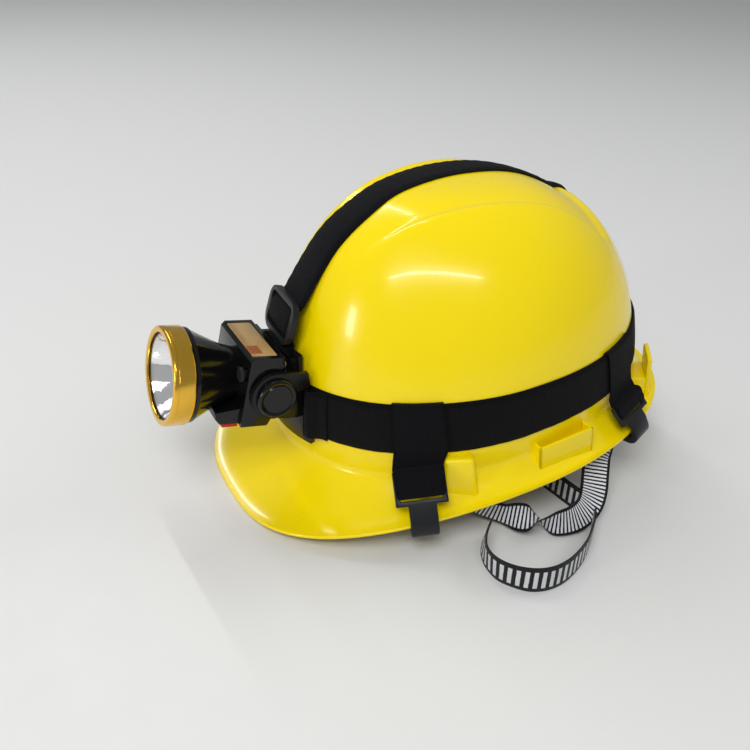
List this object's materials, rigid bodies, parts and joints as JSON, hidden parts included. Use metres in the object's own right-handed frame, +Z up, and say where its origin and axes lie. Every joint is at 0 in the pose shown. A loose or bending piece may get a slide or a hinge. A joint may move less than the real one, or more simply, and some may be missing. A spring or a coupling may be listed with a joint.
{
  "type": "miner's cap lamp on a safety helmet",
  "caption": "Rechargeable cap lamp with tilting head on an elastic harness clipped to a brimmed safety helmet with suspension and chin strap.",
  "frame": {"origin": "on the table under the middle of the helmet and lamp, chin strap left out, where the brim and the nape strap rest", "axes": "+Z up, the lamp faces -Y, the wearer's left is +X"},
  "size_m": [0.2719, 0.3358, 0.1878],
  "materials": {
    "helmet": "saturated yellow moulded shell, glossy",
    "harness_plastic": "black satin plastic",
    "foam": "black sweat-band foam in fabric",
    "cradle_webbing": "dark grey woven webbing",
    "buckle_plastic": "dark grey satin plastic",
    "elastic": "black ribbed elastic webbing",
    "bracket_plastic": "black satin plastic",
    "lamp_plastic": "gloss black plastic",
    "gold_anodised": "gold anodised turned aluminium",
    "lens": "clear flat lens",
    "rubber": "black soft rubber",
    "reflector": "vacuum metallised plastic",
    "led": "yellow phosphor emitter",
    "aluminium": "bare machined aluminium",
    "circuit_board": "green circuit board",
    "battery_wrap": "blue shrink-wrapped cells",
    "red_button": "red moulded button",
    "steel": "plated steel",
    "label": "tan printed insert, plain",
    "chin_webbing": "black webbing with silver cross stripes"
  },
  "bodies": {
    "helmet": {"helmet_shell": "helmet", "headband": "harness_plastic", "nape_strap": "harness_plastic", "brow_pad": "foam", "cradle_strap_lower": "cradle_webbing", "cradle_strap_upper": "cradle_webbing", "suspension_key_front_left": "harness_plastic", "suspension_key_front_right": "harness_plastic", "suspension_key_rear_left": "harness_plastic", "suspension_key_rear_right": "harness_plastic", "chin_anchor_left": "harness_plastic", "chin_anchor_right": "harness_plastic", "headband_elastic": "elastic", "headband_slider": "buckle_plastic", "top_elastic": "elastic", "top_slider": "buckle_plastic", "clip_loop_front_left": "elastic", "clip_loop_front_right": "elastic", "clip_loop_rear_left": "elastic", "clip_loop_rear_right": "elastic", "lamp_bracket": "bracket_plastic", "pivot_cap_left": "lamp_plastic", "pivot_cap_right": "lamp_plastic", "pivot_screw_left": "steel", "pivot_screw_right": "steel", "chin_strap_fork": "chin_webbing", "chin_strap_loop": "chin_webbing", "chin_strap_far": "chin_webbing"},
    "lamp": {"lamp_body": "lamp_plastic", "bezel_ring": "gold_anodised", "lens": "lens", "lens_gasket": "rubber", "reflector": "reflector", "led_emitter": "led", "led_board": "aluminium", "heat_sink": "aluminium", "driver_board": "circuit_board", "battery_pack": "battery_wrap", "tact_switch": "bracket_plastic", "label_plate": "label", "rear_cover": "lamp_plastic", "charge_socket": "steel", "socket_plug": "rubber", "cover_screw_1": "steel", "cover_screw_2": "steel", "cover_screw_3": "steel", "cover_screw_4": "steel"},
    "switch_button": {"switch_button": "red_button"},
    "brim_clip_front_left": {"brim_clip_front_left": "buckle_plastic"},
    "brim_clip_front_right": {"brim_clip_front_right": "buckle_plastic"},
    "brim_clip_rear_left": {"brim_clip_rear_left": "buckle_plastic"},
    "brim_clip_rear_right": {"brim_clip_rear_right": "buckle_plastic"}
  },
  "joints": [
    {"name": "lamp_tilt", "type": "hinge", "parent": "helmet", "child": "lamp", "pos_m": [0, -0.10525, 0.0804], "axis": [1, 0, 0], "range_deg": [-10, 30]},
    {"name": "switch_press", "type": "slide", "parent": "lamp", "child": "switch_button", "axis": [0, 0.165, 0.9863], "range_m": [0, 0.0012], "stiffness_N_per_m": 600, "springref_m": -0.001},
    {"name": "brim_clip_front_left_pull", "type": "slide", "parent": "helmet", "child": "brim_clip_front_left", "axis": [0.7417, -0.2133, -0.6359], "range_m": [0, 0.007], "stiffness_N_per_m": 300, "springref_m": -0.01},
    {"name": "brim_clip_front_right_pull", "type": "slide", "parent": "helmet", "child": "brim_clip_front_right", "axis": [-0.7417, -0.2133, -0.6359], "range_m": [0, 0.007], "stiffness_N_per_m": 300, "springref_m": -0.01},
    {"name": "brim_clip_rear_left_pull", "type": "slide", "parent": "helmet", "child": "brim_clip_rear_left", "axis": [0.7418, 0.3803, -0.5525], "range_m": [0, 0.007], "stiffness_N_per_m": 300, "springref_m": -0.01},
    {"name": "brim_clip_rear_right_pull", "type": "slide", "parent": "helmet", "child": "brim_clip_rear_right", "axis": [-0.7418, 0.3803, -0.5525], "range_m": [0, 0.007], "stiffness_N_per_m": 300, "springref_m": -0.01}
  ]
}
